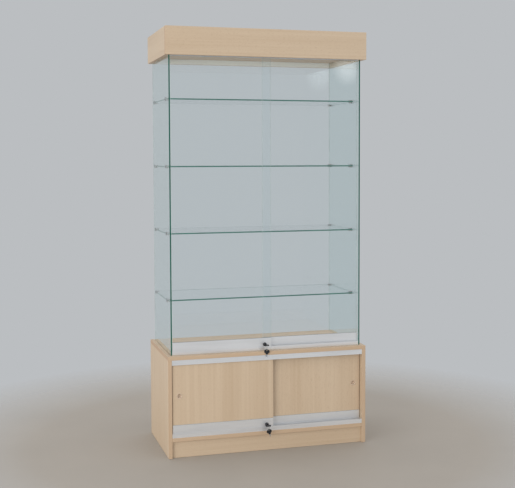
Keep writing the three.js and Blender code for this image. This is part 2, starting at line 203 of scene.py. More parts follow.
def let_go():
    """Leaves edit mode and deselects everything."""
    if bpy.context.object and bpy.context.object.mode == "EDIT":
        bpy.ops.object.mode_set(mode="OBJECT")
    bpy.ops.object.select_all(action="DESELECT")


def pick(piece):
    """Makes one piece the only selected and active one."""
    let_go()
    piece.select_set(True)
    bpy.context.view_layer.objects.active = piece


def settle(piece):
    """Puts the piece's place, turn and scale into its mesh."""
    pick(piece)
    bpy.ops.object.transform_apply(location=True, rotation=True, scale=True)


def edit(piece):
    """Goes into edit mode on the piece, in face mode, with nothing selected."""
    pick(piece)
    bpy.ops.object.mode_set(mode="EDIT")
    bpy.ops.mesh.select_mode(type="FACE")
    bpy.ops.mesh.select_all(action="DESELECT")


def select_faces(piece, wanted):
    """Selects the faces that wanted says yes to, in edit mode."""
    edit(piece)
    mesh = bmesh.from_edit_mesh(piece.data)
    for face in mesh.faces:
        if wanted(face):
            face.select_set(True)
    bmesh.update_edit_mesh(piece.data)


def add_block(name, low, high):
    """A box between two corners."""
    let_go()
    low, high = Vector(low), Vector(high)
    bpy.ops.mesh.primitive_cube_add(size=1, location=(low + high) / 2)
    block = bpy.context.object
    block.name = name
    block.scale = high - low
    settle(block)
    return block


def add_turned(name, outline, sides, start, axis):
    """A turned piece. Its outline is steps of (radius, distance along the axis) from start.

    Open ends are closed with flat faces. An outline that ends where it began makes a ring.
    """
    let_go()
    radius, height = outline[0]
    bpy.ops.mesh.primitive_circle_add(vertices=sides, radius=radius, fill_type="NOTHING")
    piece = bpy.context.object
    piece.name = name
    bpy.ops.object.mode_set(mode="EDIT")
    # The circle has no face yet, so nothing of it could be selected in face mode.
    bpy.ops.mesh.select_mode(type="VERT")
    bpy.ops.mesh.select_all(action="SELECT")
    bpy.ops.transform.translate(value=(0, 0, height))
    for next_radius, next_height in outline[1:]:
        rise = (0, 0, next_height - height)
        bpy.ops.mesh.extrude_region_move(TRANSFORM_OT_translate={"value": rise})
        share = next_radius / radius
        bpy.ops.transform.resize(value=(share, share, 1), center_override=(0, 0, next_height))
        radius, height = next_radius, next_height
    bpy.ops.mesh.select_all(action="SELECT")
    bpy.ops.mesh.remove_doubles(threshold=TOUCHING)
    bpy.ops.mesh.fill_holes(sides=0)
    bpy.ops.mesh.select_all(action="SELECT")
    bpy.ops.mesh.normals_make_consistent(inside=False)
    bpy.ops.object.mode_set(mode="OBJECT")
    piece.rotation_euler = Z_AXIS.rotation_difference(Vector(axis)).to_euler()
    piece.location = start
    settle(piece)
    return piece


def add_rod(name, radius, low, high, sides, start, axis):
    """A plain rod between two distances along the axis from start."""
    return add_turned(name, [(radius, low), (radius, high)], sides, start, axis)


def apply_modifier(piece, modifier):
    pick(piece)
    bpy.ops.object.modifier_apply(modifier=modifier.name)


def add_bevel(piece, width, segments):
    bevel = piece.modifiers.new("Rounded edges", "BEVEL")
    bevel.width = width
    bevel.segments = segments
    bevel.limit_method = "ANGLE"
    bevel.angle_limit = SHARP_ANGLE
    return bevel


def round_edges(piece, width):
    """Rounds the piece's sharp edges."""
    apply_modifier(piece, add_bevel(piece, width, 2))


def smooth(piece):
    pick(piece)
    bpy.ops.object.shade_smooth_by_angle(angle=SMOOTH_ANGLE)


def combine(piece, tool, operation):
    """Cuts the tool out of the piece, or joins it on, and removes the tool."""
    boolean = piece.modifiers.new("Combined", "BOOLEAN")
    boolean.object = tool
    boolean.operation = operation
    boolean.solver = "EXACT"
    apply_modifier(piece, boolean)
    bpy.data.objects.remove(tool)


def copy_of(piece, name, place, turn=(0, 0, 0)):
    """A copy with its own mesh, turned about the origin and moved to its place."""
    pick(piece)
    bpy.ops.object.duplicate(linked=False)
    copy = bpy.context.object
    copy.name = name
    copy.rotation_euler = turn
    copy.location = place
    settle(copy)
    return copy


def dress(piece, *finishes):
    """Gives the piece these materials in place of its own."""
    piece.data.materials.clear()
    for finish in finishes:
        piece.data.materials.append(finish)


def hand_over(piece, body, slot, *nodes):
    """Ties a finished piece to its body and hides the nodes that it stands for. Its slot is not
    used.
    """
    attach(piece, body)
    if nodes:
        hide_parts(*nodes)


def finish(piece, material, body, slot, *nodes):
    """Smooths and dresses a piece, and hands it over."""
    smooth(piece)
    dress(piece, material)
    hand_over(piece, body, slot, *nodes)


def body_of(node):
    return frame["nodes"][node]["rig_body"]


def middle(node):
    low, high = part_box(node)
    return (low + high) / 2


# ------------------------------------------------------------------ node trees

NODE_SPACING = 190


def add_node(tree, kind, feeds=None, **settings):
    """Adds a node. Feeds are its inputs' values, or the outputs that are linked to them."""
    made = tree.nodes.new(kind)
    made.location = (NODE_SPACING * len(tree.nodes), 0)
    for name, value in settings.items():
        setattr(made, name, value)
    for socket, value in (feeds or {}).items():
        if isinstance(value, bpy.types.NodeSocket):
            tree.links.new(value, made.inputs[socket])
        else:
            made.inputs[socket].default_value = value
    return made


def maths(tree, operation, *values):
    feeds = dict(enumerate(values))
    return add_node(tree, "ShaderNodeMath", feeds, operation=operation).outputs[0]


def blend(tree, share, first, second):
    """A colour between two colours."""
    made = add_node(tree, "ShaderNodeMix", {0: share, 6: first, 7: second}, data_type="RGBA")
    return made.outputs[2]


def spread(tree, value, low, high, to_low=0.0, to_high=1.0):
    """Maps values from low to high onto another range, held at its ends."""
    feeds = {
        "Value": value, "From Min": low, "From Max": high, "To Min": to_low, "To Max": to_high
    }
    return add_node(tree, "ShaderNodeMapRange", feeds, clamp=True).outputs[0]


def scaled(tree, vector, factors):
    feeds = {0: vector, 1: factors}
    return add_node(tree, "ShaderNodeVectorMath", feeds, operation="MULTIPLY").outputs[0]


def noise(tree, vector, scale, detail=2.0, roughness=0.5, distortion=0.0):
    feeds = {
        "Vector": vector,
        "Scale": scale,
        "Detail": detail,
        "Roughness": roughness,
        "Distortion": distortion,
    }
    return add_node(tree, "ShaderNodeTexNoise", feeds).outputs[0]


def opaque(colour):
    return (*colour, 1.0)


def new_group(name, inputs, outputs):
    """An empty shader group. Inputs are (name, kind, default) and outputs (name, kind)."""
    group = bpy.data.node_groups.new(name, "ShaderNodeTree")
    for label, kind, default in inputs:
        socket = group.interface.new_socket(label, in_out="INPUT", socket_type=f"NodeSocket{kind}")
        if default is not None:
            socket.default_value = default
    for label, kind in outputs:
        group.interface.new_socket(label, in_out="OUTPUT", socket_type=f"NodeSocket{kind}")
    entry = group.nodes.new("NodeGroupInput")
    return group, entry.outputs


def close_group(group, results):
    leave = group.nodes.new("NodeGroupOutput")
    leave.location = (NODE_SPACING * len(group.nodes), 0)
    for label, value in results.items():
        group.links.new(value, leave.inputs[label])


def use_group(tree, name, feeds):
    group = bpy.data.node_groups[name]
    return add_node(tree, "ShaderNodeGroup", feeds, node_tree=group).outputs


def new_material(name, **sockets):
    """A material with its shader's constants set on the shader itself."""
    material = bpy.data.materials.new(name)
    material.use_nodes = True
    shader = material.node_tree.nodes["Principled BSDF"]
    for label, value in sockets.items():
        shader.inputs[label.replace("_", " ")].default_value = value
    return material, material.node_tree, shader


def add_bump(tree, shader, height, strength, distance):
    feeds = {"Height": height, "Strength": strength, "Distance": distance}
    bump = add_node(tree, "ShaderNodeBump", feeds)
    tree.links.new(bump.outputs["Normal"], shader.inputs["Normal"])


def object_coordinates(tree):
    return add_node(tree, "ShaderNodeTexCoord").outputs["Object"]


def paint(tree, shader, share, first, second):
    """Links a colour between two colours to the shader."""
    tree.links.new(blend(tree, share, first, second), shader.inputs["Base Color"])


# ------------------------------------------------------------------ shared effects


def build_wood_grain():
    """Beech: broad tones, fine streaks and short dashes, with the grain along X."""
    group, given = new_group(
        "Beech grain",
        [
            ("Vector", "Vector", None),
            ("Light", "Color", None),
            ("Dark", "Color", None),
            ("Fleck", "Color", None),
            ("Streaks", "Float", 0.6),
            ("Flecks", "Float", 0.5),
        ],
        [("Color", "Color"), ("Height", "Float")],
    )
    broad = noise(group, scaled(group, given["Vector"], (0.35, 5, 5)), 1.6, 3, 0.5, 0.3)
    streaks = noise(group, scaled(group, given["Vector"], (1.1, 70, 70)), 1.0, 5, 0.62, 0.2)
    dashes = noise(group, scaled(group, given["Vector"], (75, 820, 820)), 1.0, 1, 0.5)
    tone = maths(group, "MULTIPLY", streaks, 0.55)
    tone = maths(group, "ADD", maths(group, "MULTIPLY", broad, 0.45), tone)
    tone = spread(group, tone, 0.36, 0.66)
    tone = maths(group, "MULTIPLY", tone, given["Streaks"])
    ground = blend(group, tone, given["Light"], given["Dark"])
    dash = maths(group, "MULTIPLY", spread(group, dashes, 0.62, 0.72), given["Flecks"])
    colour = blend(group, dash, ground, given["Fleck"])
    height = maths(group, "SUBTRACT", spread(group, streaks, 0.3, 0.7), dash)
    close_group(group, {"Color": colour, "Height": height})


def build_handling():
    """Uneven sheen from wiping and touching: soft clouds and faint smears."""
    group, given = new_group(
        "Handling",
        [("Vector", "Vector", None), ("Roughness", "Float", 0.4), ("Spread", "Float", 0.1)],
        [("Roughness", "Float"), ("Mask", "Float")],
    )
    clouds = noise(group, given["Vector"], 7.0, 4, 0.6, 0.4)
    smears = noise(group, scaled(group, given["Vector"], (3, 9, 14)), 2.5, 3, 0.7, 1.2)
    smears = spread(group, smears, 0.3, 0.75)
    mask = maths(group, "MULTIPLY", spread(group, clouds, 0.35, 0.7), smears)
    worn = maths(group, "MULTIPLY", mask, given["Spread"])
    rough = maths(group, "ADD", given["Roughness"], worn)
    close_group(group, {"Roughness": rough, "Mask": mask})


def build_drawn_lines():
    """Fine lines along X, as on an extruded and anodised profile."""
    group, given = new_group(
        "Drawn lines",
        [("Vector", "Vector", None)],
        [("Lines", "Float"), ("Clouds", "Float")],
    )
    lines = noise(group, scaled(group, given["Vector"], (2.5, 1400, 1400)), 1.0, 3, 0.6)
    clouds = noise(group, scaled(group, given["Vector"], (4, 30, 30)), 1.0, 3, 0.5)
    close_group(group, {"Lines": lines, "Clouds": clouds})


# ------------------------------------------------------------------ finishes

# How the pattern is turned so that its grain runs along each axis.
GRAIN_TURNS = {"X": (0, 0, 0), "Y": (0, 0, -math.pi / 2), "Z": (0, math.pi / 2, 0)}
AXIS_VECTORS = {"X": (1, 0, 0), "Y": (0, 1, 0), "Z": (0, 0, 1)}


# How nearly a face has to look along an axis to count as facing it, as a cosine.
FACING = 0.75


def beech(tree, place, axis, colours, streaks, flecks):
    """Beech with its grain along an axis. Its colours are the ground, the streaks and dashes."""
    feeds = {"Vector": place, "Rotation": GRAIN_TURNS[axis]}
    turned = add_node(tree, "ShaderNodeMapping", feeds).outputs[0]
    feeds = {"Vector": turned, "Streaks": streaks, "Flecks": flecks}
    feeds.update(zip(("Light", "Dark", "Fleck"), map(opaque, colours)))
    return use_group(tree, "Beech grain", feeds)


def add_handling(tree, shader, place, roughness, unevenness):
    """Makes the shader's roughness uneven, and returns the mask of the touched places."""
    feeds = {"Vector": place, "Roughness": roughness, "Spread": unevenness}
    handled = use_group(tree, "Handling", feeds)
    tree.links.new(handled["Roughness"], shader.inputs["Roughness"])
    return handled["Mask"]


def facing(tree, normal, axis):
    """1 on faces that look along the axis, either way, and 0 on the others."""
    feeds = {0: normal, 1: AXIS_VECTORS[axis]}
    along = add_node(tree, "ShaderNodeVectorMath", feeds, operation="DOT_PRODUCT").outputs["Value"]
    return maths(tree, "GREATER_THAN", maths(tree, "ABSOLUTE", along), FACING)


def laminate(settings, grain, thickness):
    """Beech laminate with its grain along one axis, and edge banding across its thickness."""
    name = f"Beech laminate {grain}{thickness}"
    if name in bpy.data.materials:
        return bpy.data.materials[name]
    material, tree, shader = new_material(name, Roughness=settings.roughness, IOR=1.5)
    coordinates = add_node(tree, "ShaderNodeTexCoord")
    place, normal = coordinates.outputs["Object"], coordinates.outputs["Normal"]
    colours = (settings.light, settings.dark, settings.fleck)
    grained = beech(tree, place, grain, colours, 0.62, 0.42)
    across = {"X": "Z", "Y": "Z", "Z": "Y"}[thickness] if grain == "X" else grain
    banded = beech(tree, place, across, (settings.band, *colours[1:]), 0.5, 0.4)
    is_end = facing(tree, normal, grain)
    is_face = facing(tree, normal, thickness)
    side_band = blend(tree, 0.55, grained["Color"], opaque(settings.band))
    band = blend(tree, is_end, side_band, banded["Color"])
    paint(tree, shader, is_face, band, grained["Color"])
    add_handling(tree, shader, place, settings.roughness, 0.12)
    add_bump(tree, shader, grained["Height"], 0.12, 0.05 * MM)
    return material


def backboard(settings):
    """Thin board behind the cupboard: plain, a little paler and more matt."""
    material, tree, shader = new_material("Thin backboard", Roughness=0.62, IOR=1.5)
    colours = (settings.light, settings.band, settings.dark)
    grained = beech(tree, object_coordinates(tree), "Z", colours, 0.4, 0.3)
    tree.links.new(grained["Color"], shader.inputs["Base Color"])
    add_bump(tree, shader, grained["Height"], 0.15, 0.05 * MM)
    return material


def clear_glass(name, tint):
    """Clear float glass, which lets light through to what stands behind it."""
    return new_material(
        name, Base_Color=opaque(tint), Roughness=0.0, IOR=1.5, Transmission_Weight=1.0
    )[0]


def glass_edge(name, edge):
    """Edge of float glass: green, because one looks along the pane."""
    material, tree, shader = new_material(name, Roughness=0.16, IOR=1.5, Specular_IOR_Level=0.3)
    place = object_coordinates(tree)
    depth = noise(tree, scaled(tree, place, (14, 14, 14)), 1.0, 3, 0.55)
    darker = tuple(value * 0.7 for value in edge)
    paint(tree, shader, spread(tree, depth, 0.3, 0.7), opaque(edge), opaque(darker))
    return material


def anodised(settings):
    """Satin anodised aluminium, drawn along X."""
    material, tree, shader = new_material("Anodised aluminium", Metallic=0.72, Roughness=0.34)
    place = object_coordinates(tree)
    drawn = use_group(tree, "Drawn lines", {"Vector": place})
    dull = tuple(value * 0.86 for value in settings.aluminium)
    share = spread(tree, drawn["Clouds"], 0.35, 0.65, 0, 0.5)
    paint(tree, shader, share, opaque(settings.aluminium), opaque(dull))
    lines = spread(tree, drawn["Lines"], 0.3, 0.7, 0.28, 0.42)
    clouds = spread(tree, drawn["Clouds"], 0.3, 0.7, 0, 0.06)
    tree.links.new(maths(tree, "ADD", lines, clouds), shader.inputs["Roughness"])
    add_bump(tree, shader, drawn["Lines"], 0.25, 0.02 * MM)
    return material


def plated(name, colour, roughness, unevenness):
    """Plated metal, with a little unevenness from handling."""
    material, tree, shader = new_material(name, Metallic=1.0, Roughness=roughness)
    fine = scaled(tree, object_coordinates(tree), (9, 9, 9))
    touched = add_handling(tree, shader, fine, roughness, unevenness)
    dull = tuple(value * 0.8 for value in colour)
    paint(tree, shader, touched, opaque(colour), opaque(dull))
    return material


def moulded(name, colour, roughness):
    """Moulded plastic with a fine leathery grain."""
    grain_size = 0.35 * MM
    material, tree, shader = new_material(name, Roughness=roughness, IOR=1.48)
    place = object_coordinates(tree)
    cells = add_node(
        tree, "ShaderNodeTexVoronoi", {"Vector": place, "Scale": 1 / grain_size}
    ).outputs["Distance"]
    touched = add_handling(tree, shader, scaled(tree, place, (8, 8, 8)), roughness, 0.1)
    worn = tuple(min(1.0, value * 1.3 + 0.01) for value in colour)
    paint(tree, shader, touched, opaque(colour), opaque(worn))
    add_bump(tree, shader, cells, 0.18, 0.04 * MM)
    return material


# ------------------------------------------------------------------ boards

BOARDS = {
    "base_side_left": ("Z", "X"),
    "base_side_right": ("Z", "X"),
    "base_bottom": ("X", "Z"),
    "plinth_front": ("X", "Y"),
    "plinth_back": ("X", "Y"),
    "plinth_bearer": ("Y", "X"),
    "display_deck": ("X", "Z"),
    "cupboard_door_left": ("Z", "Y"),
    "cupboard_door_right": ("Z", "Y"),
    "canopy_front": ("X", "Y"),
    "canopy_left": ("Y", "X"),
    "canopy_right": ("Y", "X"),
    "canopy_top": ("X", "Z"),
    "canopy_soffit": ("X", "Z"),
}


def soften_node(node, width, segments):
    """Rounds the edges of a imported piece, whose mesh stays as it is under its modifiers."""
    part = frame["nodes"][node]
    weld = part.modifiers.new("Joined corners", "WELD")
    weld.merge_threshold = TOUCHING
    flat = part.modifiers.new("Whole faces", "DECIMATE")
    flat.decimate_type = "DISSOLVE"
    flat.angle_limit = math.radians(1)
    add_bevel(part, width, segments)
    return part


class DISPLAYCASE_OT_boards(bpy.types.Operator):
    """Finish the cupboard's, deck's and canopy's boards"""

    bl_idname = "displaycase.boards"
    bl_label = "Boards"

    def execute(self, context):
        settings = context.scene.display_case.boards
        for node, (grain, thickness) in BOARDS.items():
            part = soften_node(node, settings.edge_radius, 2)
            dress(part, laminate(settings, grain, thickness))
        dress(soften_node("base_back", 0.4 * MM, 1), backboard(settings))
        self.brighten_canopy_inside(soften_node("canopy_back", settings.edge_radius, 2), settings)
        return {"FINISHED"}

    def brighten_canopy_inside(self, board, settings):
        """Laminate on the canopy's back board, with painted light: the face turned inwards lies in
        shade under the soffit and is painted pale.
        """
        outside = laminate(settings, "X", "Y")
        brightened = outside.copy()
        brightened.name = "Beech laminate with painted light inside"
        tree = brightened.node_tree
        shader = tree.nodes["Principled BSDF"]
        normal = tree.nodes["Texture Coordinate"].outputs["Normal"]
        inward = add_node(
            tree, "ShaderNodeVectorMath", {0: normal, 1: (0, -1, 0)}, operation="DOT_PRODUCT"
        ).outputs["Value"]
        wood = shader.inputs["Base Color"].links[0].from_socket
        # Painted light: the inward face is in shade under the soffit, and its pale colour makes it
        # read as lit.
        is_inside = maths(tree, "GREATER_THAN", inward, FACING)
        paint(tree, shader, is_inside, wood, opaque(settings.pale))
        dress(board, brightened)


# ------------------------------------------------------------------ glass

# Each pane and the axis that it is thin along: 0 for X, 1 for Y and 2 for Z.
PANES = {
    "glass_side_left": 0,
    "glass_side_right": 0,
    "glass_back": 1,
    "glass_door_left": 1,
    "glass_door_right": 1,
    "shelf_1": 2,
    "shelf_2": 2,
    "shelf_3": 2,
    "shelf_4": 2,
}


class DISPLAYCASE_OT_glass(bpy.types.Operator):
    """Cut the panes, the glass doors and the shelves, with ground and polished edges"""

    bl_idname = "displaycase.glass"
    bl_label = "Glass"

    def execute(self, context):
        settings = context.scene.display_case.glass
        clear = clear_glass("Clear float glass", settings.tint)
        side_clear = clear_glass("Side float glass", settings.side_tint)
        deep = glass_edge("Deep glass edge", settings.deep_edge)
        polished = glass_edge("Polished glass edge", settings.edge)
        pale = glass_edge("Pale glass edge", settings.pale_edge)
        for node, thin in PANES.items():
            pane = add_block(f"{node}_pane", *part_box(node))
            edit(pane)
            bpy.ops.mesh.select_all(action="SELECT")
            bpy.ops.mesh.bevel(offset=settings.arris, segments=1, affect="EDGES")
            bpy.ops.object.mode_set(mode="OBJECT")
            dress(pane, *((side_clear, deep) if thin == 0 else (clear, polished)), pale)
            for face in pane.data.polygons:
                face.material_index = self.finish_of(face.normal, thin)
            pane.visible_shadow = False
            pane.visible_diffuse = False
            hand_over(pane, body_of(node), "clear_glass", node)
        return {"FINISHED"}

    def finish_of(self, normal, thin):
        """0 for the pane's faces, 1 for its green edges and 2 for its pale ones."""
        if abs(normal[thin]) > 0.99:
            return 0
        is_back_edge = thin == 0 and normal.y > 0.5
        return 2 if thin == 1 or is_back_edge else 1


# ------------------------------------------------------------------ aluminium

PROFILES = [
    f"{doors}_{part}"
    for doors in ("cupboard", "glass")
    for part in ("track_bottom", "track_top", "shoe_left", "shoe_right")
]


class DISPLAYCASE_OT_profiles(bpy.types.Operator):
    """Finish the sliding doors' tracks and shoes"""

    bl_idname = "displaycase.profiles"
    bl_label = "Tracks and shoes"

    def execute(self, context):
        settings = context.scene.display_case.metal
        satin = anodised(settings)
        for node in PROFILES:
            dress(soften_node(node, settings.profile_edge, 2), satin)
        return {"FINISHED"}


# ------------------------------------------------------------------ seals


class DISPLAYCASE_OT_seals(bpy.types.Operator):
    """Press a soft vinyl seal between each door and its shoe"""

    bl_idname = "displaycase.seals"
    bl_label = "Door seals"

    lip: length_property("Lip", "How far a seal stands above its shoe", 1.2 * MM)
    slack: length_property("Slack", "Gap between a seal and what it touches", 0.04 * MM)

    def execute(self, context):
        grey = moulded("Grey vinyl", from_srgb(146, 150, 150), 0.5)
        for doors in ("cupboard", "glass"):
            for side in ("left", "right"):
                self.add_seal(doors, side, grey)
        return {"FINISHED"}

    def add_seal(self, doors, side, vinyl):
        door_low, door_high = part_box(f"{doors}_door_{side}")
        shoe_low, shoe_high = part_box(f"{doors}_shoe_{side}")
        groove = SHOE_GROOVES[doors]
        front = shoe_low.y + groove.wall + self.slack
        back = shoe_high.y - groove.wall - self.slack
        low = Vector((door_low.x + 2 * self.slack, front, shoe_high.z - groove.depth + self.slack))
        high = Vector((door_high.x - 2 * self.slack, back, shoe_high.z + self.lip))
        seal = add_block(f"{doors}_seal_{side}", low, high)
        slot = add_block(
            "slot",
            (low.x - self.lip, door_low.y - self.slack, door_low.z - 2 * self.slack),
            (high.x + self.lip, door_high.y + self.slack, high.z + self.lip),
        )
        combine(seal, slot, "DIFFERENCE")
        dress(seal, vinyl)
        hand_over(seal, f"{doors}_leaf_{side}", "gland_plastic")


class Groove:
    """How thick a shoe's walls are, and how deep its door stands in it."""

    def __init__(self, wall, depth):
        self.wall = wall
        self.depth = depth


SHOE_GROOVES = {"cupboard": Groove(1.75 * MM, 14 * MM), "glass": Groove(1.5 * MM, 12 * MM)}


# ------------------------------------------------------------------ shelf clips


class DISPLAYCASE_OT_shelf_clips(bpy.types.Operator):
    """Turn one shelf clip with its clamping screw, and set a copy at each shelf's corners"""

    bl_idname = "displaycase.shelf_clips"
    bl_label = "Shelf clips"

    disc_radius: length_property("Disc radius", "Radius of the disc on the pane", 9 * MM)
    disc_thickness: length_property("Disc thickness", "Thickness of that disc", 3 * MM)
    stub_radius: length_property("Stub radius", "Radius of the part that holds the shelf", 7 * MM)
    length: length_property("Length", "How far a clip reaches from the pane", 18 * MM)
    jaw: length_property("Jaw", "Height of the slot for the shelf", 6.6 * MM)
    jaw_start: length_property("Jaw start", "Pane to the bottom of the slot", 2.7 * MM)

    def execute(self, context):
        settings = context.scene.display_case.metal
        nickel = plated("Satin nickel", settings.nickel, 0.24, 0.14)
        clip = self.model_clip()
        dress(clip, nickel)
        smooth(clip)
        for shelf in range(1, 5):
            for side, turn in (("left", 0), ("right", math.pi)):
                for end in ("front", "back"):
                    node = f"shelf_{shelf}_clip_{side}_{end}"
                    low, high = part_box(node)
                    centre = middle(node)
                    foot = (low.x if side == "left" else high.x, centre.y, centre.z)
                    copy = copy_of(clip, f"{node}_turned", foot, (0, 0, turn))
                    hand_over(copy, "case", "clip_metal", node)
        bpy.data.objects.remove(clip)
        return {"FINISHED"}

    def model_clip(self):
        """One clip at the origin, reaching along +X."""
        step = 0.8 * MM
        clip = add_turned(
            "clip",
            [
                (self.disc_radius, 0),
                (self.disc_radius, self.disc_thickness - step),
                (self.stub_radius + step, self.disc_thickness),
                (self.stub_radius, self.disc_thickness),
                (self.stub_radius, self.length - step),
                (self.stub_radius - step, self.length),
            ],
            FINE_SIDES,
            (0, 0, 0),
            X_AXIS,
        )
        reach = self.disc_radius + step
        jaw = add_block(
            "jaw",
            (self.jaw_start, -reach, -self.jaw / 2),
            (self.length + step, reach, self.jaw / 2),
        )
        combine(clip, jaw, "DIFFERENCE")
        round_edges(clip, 0.3 * MM)
        combine(clip, self.model_screw(), "UNION")
        return clip

    def model_screw(self):
        """The screw under the clip that clamps the shelf, with a six-sided socket."""
        head_radius = 2.3 * MM
        bottom = -self.disc_radius + 0.2 * MM
        place = (self.length * 0.58, 0, bottom)
        height = self.disc_radius - self.jaw / 2 - 0.4 * MM
        screw = add_rod("screw", head_radius, 0, height, FINE_SIDES // 2, place, Z_AXIS)
        round_edges(screw, 0.25 * MM)
        socket = add_rod("socket", 1.3 * MM, -1 * MM, 1.2 * MM, 6, place, Z_AXIS)
        combine(screw, socket, "DIFFERENCE")
        return screw


# ------------------------------------------------------------------ finger cups


class DISPLAYCASE_OT_finger_cups(bpy.types.Operator):
    """Mould the round finger cups of the cupboard doors"""

    bl_idname = "displaycase.finger_cups"
    bl_label = "Finger cups"

    radius: length_property("Radius", "Radius of the cup in its hole", 11 * MM)
    wall: length_property("Wall", "Thickness of the cup's wall", 1.5 * MM)
    flange: length_property("Flange", "How far the flange reaches past the hole", 2 * MM)
    lip: length_property("Lip", "Thickness of the flange on the door", 1 * MM)

    def execute(self, context):
        beige = moulded("Beige moulding", from_srgb(201, 181, 160), 0.42)
        for side in ("left", "right"):
            node = f"finger_cup_{side}"
            low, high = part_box(node)
            centre = middle(node)
            deep = high.y - low.y
            inner = self.radius - self.wall
            cup = add_turned(
                f"{node}_moulded",
                [
                    (inner - self.wall, deep - self.wall),
                    (inner, deep - 2 * self.wall),
                    (inner, self.lip),
                    (inner + self.wall / 2, 0),
                    (self.radius + self.flange, 0),
                    (self.radius + self.flange, self.lip),
                    (self.radius, self.lip),
                    (self.radius, deep),
                ],
                ROUND_SIDES,
                (centre.x, low.y, centre.z),
                Y_AXIS,
            )
            round_edges(cup, 0.35 * MM)
            finish(cup, beige, f"cupboard_leaf_{side}", "finger_cup", node)
        return {"FINISHED"}


# ------------------------------------------------------------------ locks and keys


class DISPLAYCASE_OT_locks(bpy.types.Operator):
    """Turn the push locks: barrel with bolt, plug with keyway, and the collar on the shoe"""

    bl_idname = "displaycase.locks"
    bl_label = "Locks"

    barrel_radius: length_property("Barrel radius", "Radius of a lock's barrel", 7 * MM)
    bolt_radius: length_property("Bolt radius", "Radius of a lock's bolt", 3.5 * MM)
    plug_radius: length_property("Plug radius", "Radius of the part that turns", 4.5 * MM)
    bore_slack: length_property("Bore slack", "Gap between plug and barrel", 0.3 * MM)
    collar_width: length_property("Collar width", "Width of the collar's ring", 1.8 * MM)
    collar_height: length_property("Collar height", "How far the collar stands up", 1.2 * MM)

    def execute(self, context):
        metal = context.scene.display_case.metal
        # Barrels, plugs and collars take the near black lock colour.
        dark = plated("Dark lock metal", metal.dark_lock_metal, 0.18, 0.14)
        for doors in ("cupboard", "glass"):
            self.build_barrel(doors, dark)
            self.build_plug(doors, dark)
            self.build_collar(doors, dark)
        return {"FINISHED"}

    def build_barrel(self, doors, metal):
        node = f"{doors}_lock_barrel"
        low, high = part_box(node)
        plug_low, plug_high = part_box(f"{doors}_lock_plug")
        shoe_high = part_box(f"{doors}_shoe_left")[1]
        centre = middle(node)
        length = high.y - low.y
        travel = 7 * MM
        shoulder = shoe_high.y - travel - low.y
        floor = plug_high.y - plug_low.y + self.bore_slack
        bore = self.plug_radius + self.bore_slack
        chamfer = 0.7 * MM
        groove = 2.4 * MM
        barrel = add_turned(
            f"{node}_turned",
            [
                (bore, floor),
                (bore, chamfer / 2),
                (bore + chamfer / 2, 0),
                (self.barrel_radius - chamfer, 0),
                (self.barrel_radius, chamfer),
                (self.barrel_radius, groove),
                (self.barrel_radius - chamfer / 2, groove + chamfer / 2),
                (self.barrel_radius - chamfer / 2, groove + chamfer),
                (self.barrel_radius, groove + 1.5 * chamfer),
                (self.barrel_radius, shoulder - chamfer),
                (self.barrel_radius - chamfer, shoulder),
                (self.bolt_radius, shoulder),
                (self.bolt_radius, length - chamfer),
                (self.bolt_radius - chamfer, length),
            ],
            ROUND_SIDES,
            (centre.x, low.y, centre.z),
            Y_AXIS,
        )
        round_edges(barrel, 0.12 * MM)
        finish(barrel, metal, f"{doors}_lock", "lock_metal", node)

    def build_plug(self, doors, metal):
        node = f"{doors}_lock_plug"
        low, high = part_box(node)
        centre = middle(node)
        length = high.y - low.y
        chamfer = 0.4 * MM
        plug = add_turned(
            f"{node}_turned",
            [
                (self.plug_radius - chamfer, 0),
                (self.plug_radius, chamfer),
                (self.plug_radius, length),
            ],
            FINE_SIDES,
            (centre.x, low.y, centre.z),
            Y_AXIS,
        )
        keyway = Vector((3.3 * MM, 0, 1.2 * MM))
        slot = add_block(
            "slot",
            Vector((centre.x, low.y - chamfer, centre.z)) - keyway,
            Vector((centre.x, high.y - 0.5 * MM, centre.z)) + keyway,
        )
        combine(plug, slot, "DIFFERENCE")
        finish(plug, metal, f"{doors}_key_set", "lock_metal", node)

    def build_collar(self, doors, metal):
        centre = middle(f"{doors}_lock_barrel")
        shoe_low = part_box(f"{doors}_shoe_left")[0]
        inner = self.barrel_radius + 0.2 * MM
        outer = inner + self.collar_width
        height = self.collar_height
        collar = add_turned(
            f"{doors}_lock_collar",
            [
                (inner, 0),
                (inner, height),
                (outer, height),
                (outer, height / 2),
                (outer - height / 2, 0),
                (inner, 0),
            ],
            ROUND_SIDES,
            (centre.x, shoe_low.y - height, centre.z),
            Y_AXIS,
        )
        round_edges(collar, 0.15 * MM)
        finish(collar, metal, f"{doors}_leaf_left", "lock_metal")


